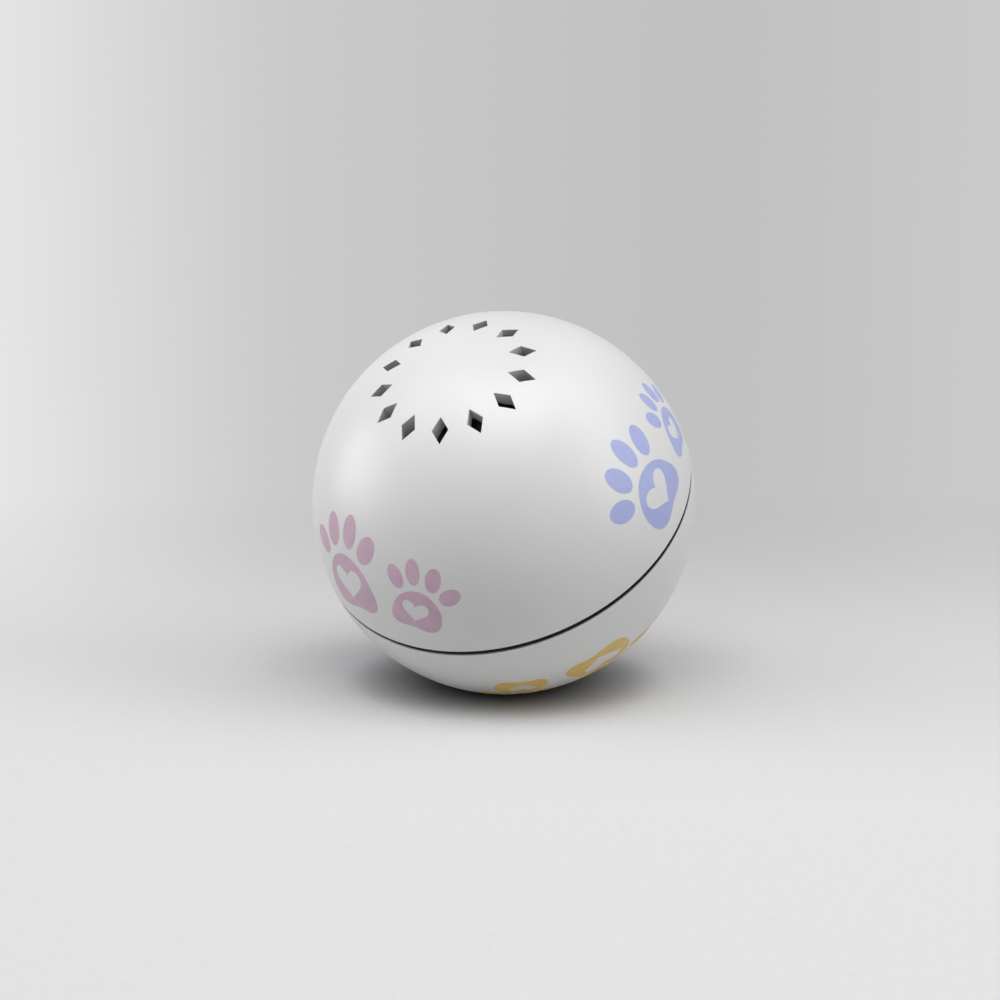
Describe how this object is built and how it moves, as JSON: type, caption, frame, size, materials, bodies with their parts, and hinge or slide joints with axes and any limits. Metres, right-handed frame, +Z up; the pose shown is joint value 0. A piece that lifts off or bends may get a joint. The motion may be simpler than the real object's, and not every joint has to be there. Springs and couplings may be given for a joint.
{
  "type": "smart cat ball",
  "caption": "Hollow cat toy ball that twists open at its seam, with diamond vents round one pole, printed paws, a catnip chamber and a touch-woken sound module.",
  "frame": {"origin": "the point where the ball rests on the floor, straight under its centre", "axes": "+Z up, -Y towards the viewer of the picture, +X to that viewer's right; the ball's own axis leans 39 degrees from +Z, towards -Y and -X, as it comes to rest"},
  "size_m": [0.05, 0.05, 0.05],
  "materials": {
    "shell_white": "satin",
    "inner_grey": "matte",
    "screw_steel": "satin",
    "cell_steel": "satin",
    "part_steel": "satin",
    "contact_brass": "satin",
    "seal_rubber": "matte",
    "foam_black": "matte",
    "film_clear_grey": "satin",
    "lead_red": "satin",
    "lead_black": "satin",
    "board_green": "satin",
    "epoxy_black": "gloss",
    "chip_tan": "matte",
    "capacitor_blue": "satin",
    "screen_cloth": "matte"
  },
  "bodies": {
    "lower_half": {"lower_shell": "shell_white", "deck": "inner_grey", "deck_screws": "screw_steel", "speaker_gasket": "foam_black", "speaker_cone": "film_clear_grey", "speaker_frame": "inner_grey", "speaker_magnet": "part_steel", "speaker_leads": "lead_red", "circuit_board": "board_green", "board_screws": "screw_steel", "sound_chip": "epoxy_black", "surface_parts": "chip_tan", "motion_sensor": "part_steel", "capacitor": "capacitor_blue", "switch_body": "part_steel", "cell_1": "cell_steel", "cell_2": "cell_steel", "cell_3": "cell_steel", "positive_contact": "contact_brass", "negative_contact": "contact_brass", "contact_spring": "screw_steel", "battery_leads": "lead_black"},
    "seal_ring": {"seam_seal": "seal_rubber"},
    "upper_half": {"upper_shell": "shell_white", "thread_ring": "shell_white", "vent_screen": "screen_cloth", "chamber_ring": "shell_white"},
    "chamber_lid": {"catnip_lid": "inner_grey"},
    "cell_door": {"battery_door": "inner_grey", "door_screws": "screw_steel"},
    "power_knob": {"switch_knob": "epoxy_black"}
  },
  "joints": [
    {"name": "half_twist", "type": "hinge", "parent": "lower_half", "child": "seal_ring", "pos_m": [0, 0, 0.025], "axis": [-0.2759, -0.5656, 0.7771], "range_deg": [0, 1080]},
    {"name": "half_lift", "type": "slide", "parent": "seal_ring", "child": "upper_half", "axis": [-0.2759, -0.5656, 0.7771], "range_m": [0, 0.036]},
    {"name": "lid_twist", "type": "hinge", "parent": "upper_half", "child": "chamber_lid", "pos_m": [0, 0, 0.025], "axis": [-0.2759, -0.5656, 0.7771], "range_deg": [0, 45]},
    {"name": "door_lift", "type": "slide", "parent": "lower_half", "child": "cell_door", "axis": [-0.2759, -0.5656, 0.7771], "range_m": [0, 0.0085]},
    {"name": "knob_slide", "type": "slide", "parent": "lower_half", "child": "power_knob", "axis": [0.3407, 0.6985, 0.6293], "range_m": [0, 0.002]}
  ],
  "couplings": [
    {"joint": "half_lift", "follows": "half_twist", "m_per_rad": 0.0019099}
  ]
}
